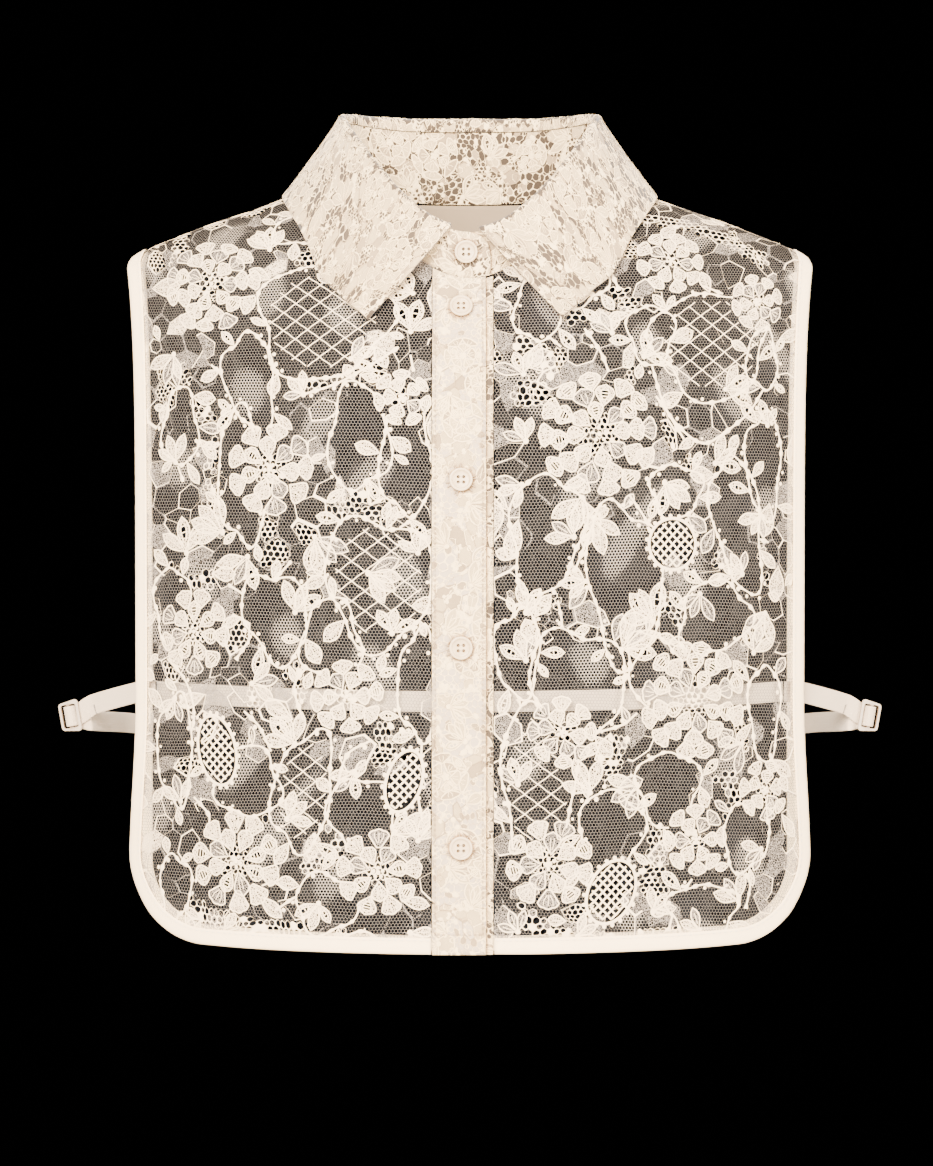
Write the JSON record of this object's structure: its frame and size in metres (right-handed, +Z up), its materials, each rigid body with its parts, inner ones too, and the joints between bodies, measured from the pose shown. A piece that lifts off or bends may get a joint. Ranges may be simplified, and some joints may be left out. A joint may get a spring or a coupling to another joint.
{
  "type": "lace dickey with shirt collar",
  "caption": "Lace front and back joined at the shoulders, with a shirt collar, buttoned placket, bound edges and side elastics.",
  "frame": {"origin": "middle of the neck opening, level with the points where the shoulder seams meet the neckline", "axes": "+Z up, the front faces -Y, +X to the viewer's right"},
  "size_m": [0.428, 0.197, 0.4508],
  "materials": {
    "lace": "open floral lace, matte",
    "lined_lace": "lace over a plain cream backing, matte",
    "binding": "plain folded binding, soft sheen",
    "label": "bare satin",
    "button": "cream resin with a raised rim",
    "elastic": "satin elastic",
    "slider": "coated, smooth"
  },
  "bodies": {
    "root": {"front_left": "lace", "front_right": "lace", "back": "lace", "placket": "lined_lace", "under_placket": "lined_lace", "binding_left": "binding", "binding_right": "binding", "collar_stand": "lined_lace", "collar_leaf": "lined_lace", "neck_label": "label", "button_1": "button", "button_2": "button", "button_3": "button", "button_4": "button", "button_5": "button", "strap_front": "elastic", "strap_left": "elastic", "strap_right": "elastic", "slider_left": "slider", "slider_right": "slider"}
  },
  "joints": []
}
